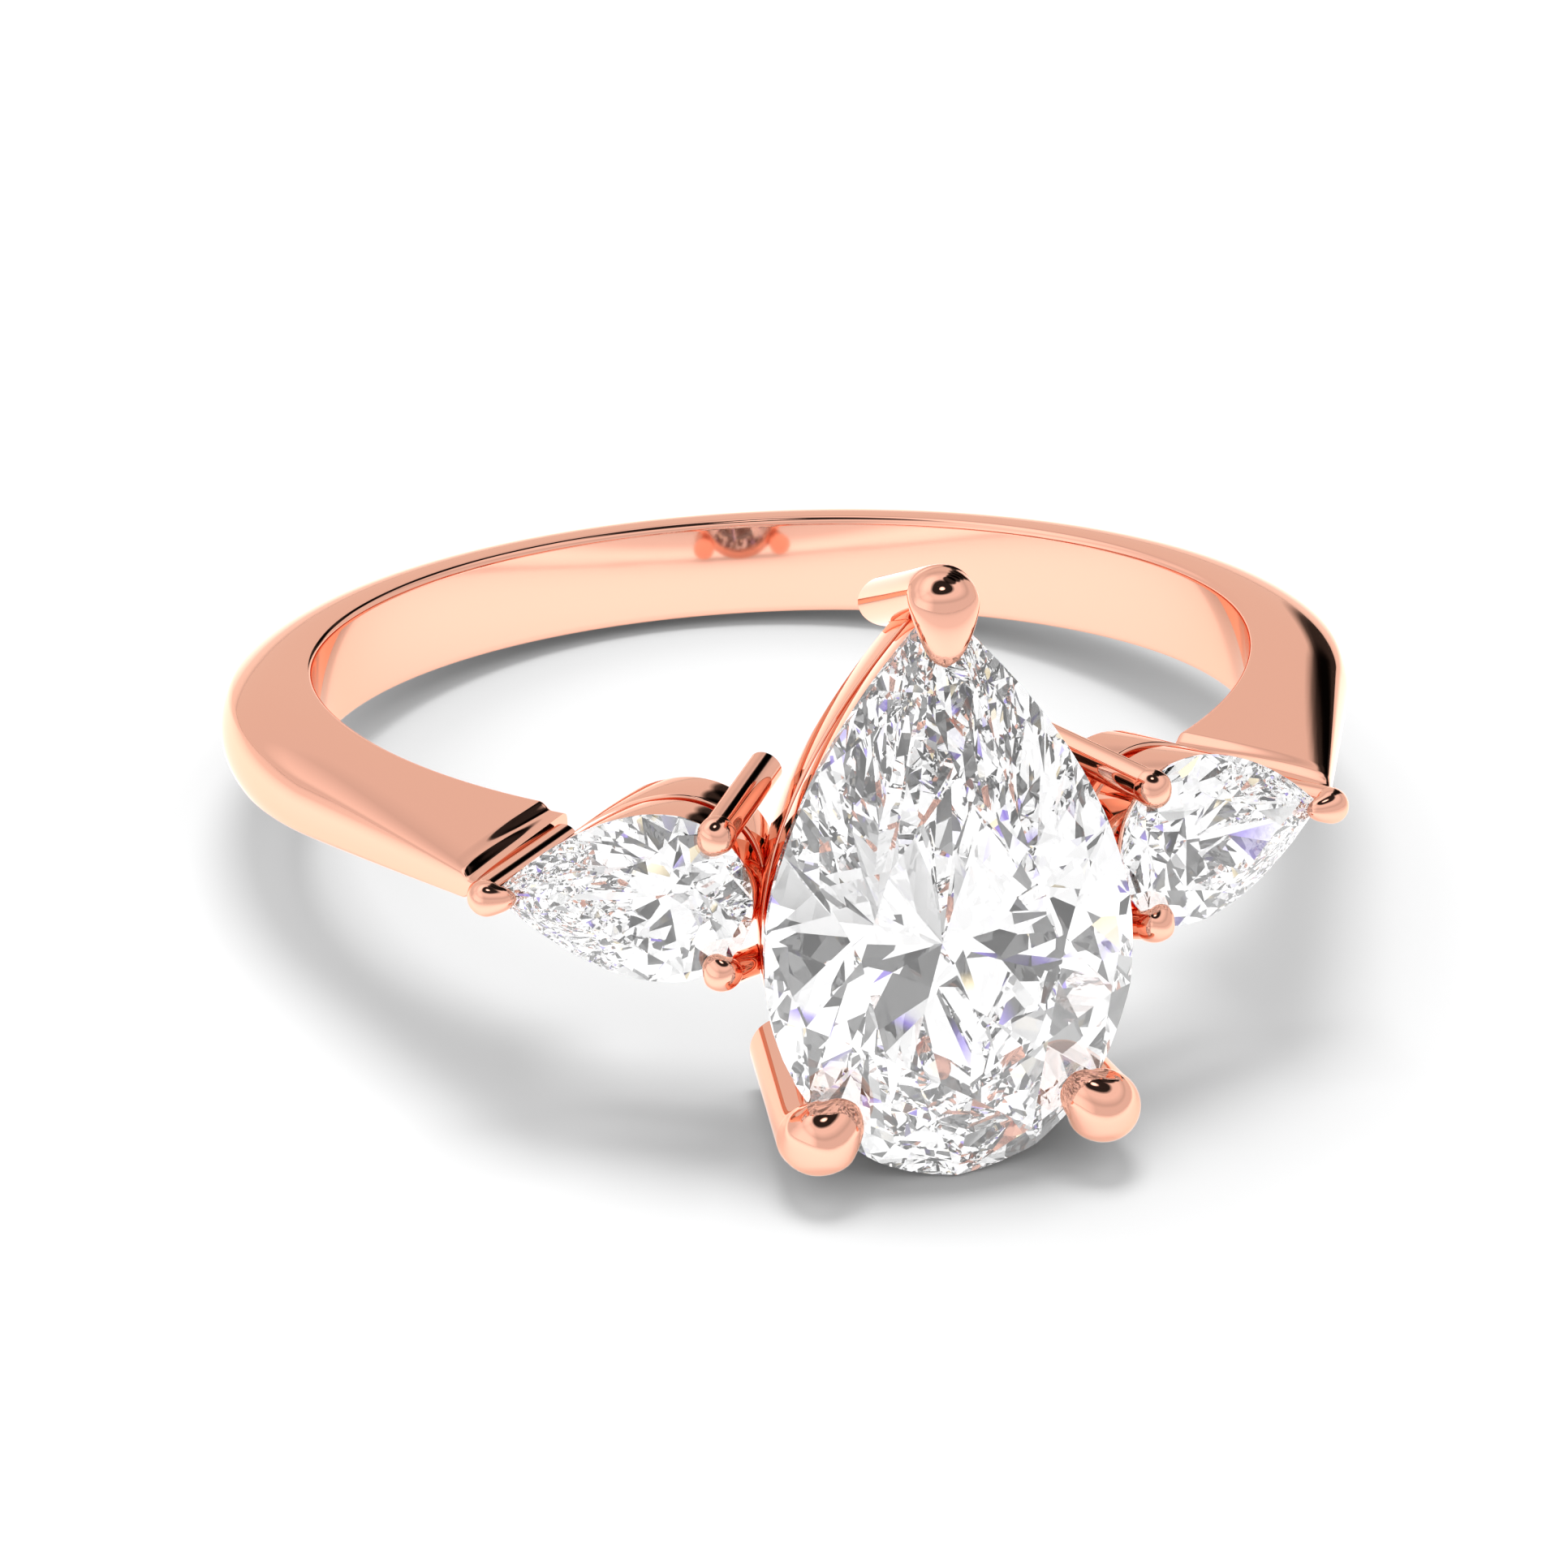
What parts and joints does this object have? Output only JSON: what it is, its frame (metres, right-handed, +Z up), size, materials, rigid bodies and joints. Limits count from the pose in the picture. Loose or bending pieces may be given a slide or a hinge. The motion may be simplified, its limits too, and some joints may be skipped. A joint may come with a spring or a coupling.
{
  "type": "engagement ring",
  "caption": "Three-stone engagement ring: a tapered rose-gold band carries a large pear-cut centre stone and two small pear-cut side stones, each claw-set on an open two-rail basket.",
  "frame": {"origin": "centre of the finger hole", "axes": "the ring rests on the back of its band and the lower end of the centre stone, so Z is up; Y runs from the head (-Y) to the back of the band (+Y); X runs across the three stones; the finger hole's axis leans 10.7 degrees from Z towards +Y"},
  "size_m": [0.0198, 0.023, 0.0103],
  "materials": {
    "rose_gold": "polished rose gold",
    "diamond": "brilliant-cut clear stone"
  },
  "bodies": {
    "root": {"shank": "rose_gold", "centre_stone": "diamond", "centre_top_rail": "rose_gold", "centre_base_rail": "rose_gold", "centre_point_claw": "rose_gold", "centre_left_claw": "rose_gold", "centre_right_claw": "rose_gold", "left_stone": "diamond", "left_top_rail": "rose_gold", "left_base_rail": "rose_gold", "left_point_claw": "rose_gold", "left_upper_claw": "rose_gold", "left_lower_claw": "rose_gold", "right_stone": "diamond", "right_top_rail": "rose_gold", "right_base_rail": "rose_gold", "right_point_claw": "rose_gold", "right_upper_claw": "rose_gold", "right_lower_claw": "rose_gold"}
  },
  "joints": []
}
